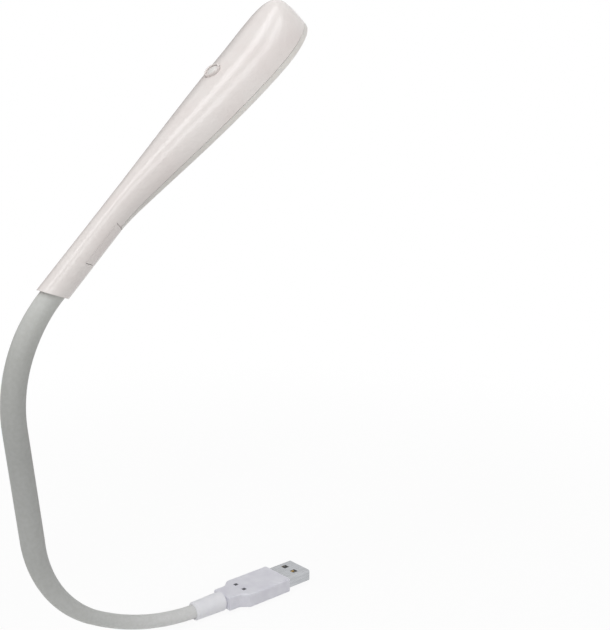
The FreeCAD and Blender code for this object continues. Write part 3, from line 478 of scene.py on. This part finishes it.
# Driver chip: moulded black epoxy on tinned legs.
# The epoxy is matt from its mould.
epoxy, tree, shader, place = begin("moulded_epoxy", roughness=0.55, ior=1.55)
paint(tree, shader, place, size=0.5 * mm, detail=3.0, low="#202022", high="#2E2E30")
dimpled(tree, shader, place, size=0.15 * mm, depth=0.015 * mm)
dress("driver_chip", epoxy)

# Push switch: a black nylon case with a plunger of the same under the button.
# Glass filled nylon is dull and a little grainy.
nylon, tree, shader, place = begin("glass_filled_nylon", roughness=0.5, ior=1.53)
paint(tree, shader, place, size=0.6 * mm, detail=3.0, low="#26272A", high="#333539")
dimpled(tree, shader, place, size=0.2 * mm, depth=0.02 * mm)
dress("switch_body", nylon)
dress("switch_plunger", nylon)

# Button: a raised ring set in the shell and the low cap that slides in it.
# Both are the shell's glossy ABS, the cap a shade whiter.
abs_cap, tree, shader, place = begin("glossy_cap_abs", roughness=0.22, ior=1.54)
paint(tree, shader, place, size=2 * mm, detail=2.0, low="#E4E0DD", high="#ECE9E6")
roughen(tree, shader, place, size=1 * mm, low=0.18, high=0.28)
dimpled(tree, shader, place, size=0.8 * mm, depth=0.01 * mm)
dress("button_bezel", abs_gloss)
dress("button_cap", abs_cap)

# Floor and light: a pale sheet under the lamp, a soft sky, two long soft boxes and a weak fill.
# The sheet is white to the eye and keeps a faint shadow. The sky is dark low down behind
# the lamp, where only reflections find it, and so the head's upper edge is drawn as a line.
floor_size = 12.0
floor_gap = 0.3 * mm
shadow_near = 0.12
shadow_far = 0.4
paper_glow = 0.93
sky_light = 0.42
dark_way = Vector((0.1, 0.95, 0.2)).normalized()
dark_share = 0.8
dark_edge = 0.78
dark_core = 0.95
white = (1.0, 1.0, 1.0, 1.0)
lamp_middle = Vector((-0.05, 0.0, 0.11))


def seen_by_eye(tree, ray):
    """One for the rays that show a thing directly, mirrored or through a lens, and zero for others."""
    seen = put(tree, "ShaderNodeMath", {0: ray.outputs["Is Camera Ray"], 1: ray.outputs["Is Glossy Ray"]},
               operation="MAXIMUM")
    seen = put(tree, "ShaderNodeMath", {0: seen.outputs[0], 1: ray.outputs["Is Transmission Ray"]},
               operation="MAXIMUM")
    return seen.outputs[0]


bpy.ops.object.select_all(action="DESELECT")
bpy.ops.mesh.primitive_plane_add(size=floor_size, location=(0, 0, cad_box[0][2] - floor_gap))
floor = bpy.context.object
floor.name = "floor"
paper = bpy.data.materials.new("matt_white_paper")
paper.use_nodes = True
tree = paper.node_tree
tree.nodes.remove(tree.nodes["Principled BSDF"])
spot = put(tree, "ShaderNodeTexCoord", {}).outputs["Object"]
fibre = mottle(tree, spot, size=3 * mm, detail=2.0, low="#EDEDEC", high="#F3F3F2")
matt = put(tree, "ShaderNodeBsdfDiffuse", {"Color": fibre})
glow = put(tree, "ShaderNodeEmission", {"Color": white, "Strength": 1.0})
ray = put(tree, "ShaderNodeLightPath", {})
seen = seen_by_eye(tree, ray)
away = put(tree, "ShaderNodeVectorMath", {0: spot}, operation="LENGTH")
fade = put(tree, "ShaderNodeMapRange", {"Value": away.outputs["Value"], "From Min": shadow_near,
                                        "From Max": shadow_far, "To Min": paper_glow, "To Max": 1.0},
           interpolation_type="SMOOTHSTEP")
part = put(tree, "ShaderNodeMath", {0: seen, 1: fade.outputs["Result"]}, operation="MULTIPLY")
both = put(tree, "ShaderNodeMixShader", {0: part.outputs[0], 1: matt.outputs[0], 2: glow.outputs[0]})
tree.links.new(both.outputs[0], tree.nodes["Material Output"].inputs["Surface"])
floor.data.materials.append(paper)

world = bpy.data.worlds.new("soft_sky")
bpy.context.scene.world = world
world.use_nodes = True
tree = world.node_tree
ray = put(tree, "ShaderNodeLightPath", {})
seen = seen_by_eye(tree, ray)
bright = put(tree, "ShaderNodeMapRange", {"Value": seen, "To Min": sky_light, "To Max": 1.0})
way = put(tree, "ShaderNodeTexCoord", {}).outputs["Generated"]
near = put(tree, "ShaderNodeVectorMath", {0: way, 1: dark_way}, operation="DOT_PRODUCT")
dim = put(tree, "ShaderNodeMapRange", {"Value": near.outputs["Value"], "From Min": dark_edge,
                                       "From Max": dark_core, "To Min": 0.0, "To Max": dark_share},
          interpolation_type="SMOOTHSTEP")
dim = put(tree, "ShaderNodeMath", {0: dim.outputs["Result"], 1: ray.outputs["Is Glossy Ray"]},
          operation="MULTIPLY")
bright = put(tree, "ShaderNodeMath", {0: bright.outputs["Result"], 1: dim.outputs[0]}, operation="SUBTRACT")
sky = tree.nodes["Background"]
sky.inputs["Color"].default_value = white
tree.links.new(bright.outputs[0], sky.inputs["Strength"])

for name, place, width, length, power in (("high_box", (-0.45, -0.03, 1.09), 0.24, 1.5, 4.1),
                                          ("near_box", (-0.33, -0.52, 0.98), 0.2, 1.5, 3.1),
                                          ("fill_box", (0.45, -0.8, 0.35), 0.8, 0.8, 0.2)):
    bpy.ops.object.light_add(type="AREA", location=place)
    box = bpy.context.object
    box.name = name
    box.data.shape = "RECTANGLE"
    box.data.size = width
    box.data.size_y = length
    box.data.energy = power
    down = (lamp_middle - Vector(place)).normalized()
    along = (outward - outward.dot(down) * down).normalized()
    box.rotation_euler = Matrix((down.cross(along), along, -down)).transposed().to_euler()

# Camera: at the photograph's place, turned and tilted as it was.
# The lens follows from the photograph's focal length and height in pixels.
camera_place = (-0.24679, -0.28221, 0.18165)
right = Vector((0.73743, -0.67530, 0.01310))
up = Vector((0.12387, 0.15429, 0.98023))
back = Vector((-0.66397, -0.72123, 0.19743))
focal_pixels = 1023.55
photo_pixels = 630
sensor = 36.0
camera_data = bpy.data.cameras.new("camera")
camera = bpy.data.objects.new("camera", camera_data)
bpy.context.scene.collection.objects.link(camera)
turn = Matrix((right, up, back)).transposed().to_4x4()
camera.matrix_world = Matrix.Translation(camera_place) @ turn
camera_data.sensor_fit = "VERTICAL"
camera_data.sensor_height = sensor
camera_data.lens = focal_pixels / photo_pixels * sensor
camera_data.clip_start = 10 * mm
bpy.context.scene.camera = camera
bpy.context.scene.view_settings.view_transform = "Standard"
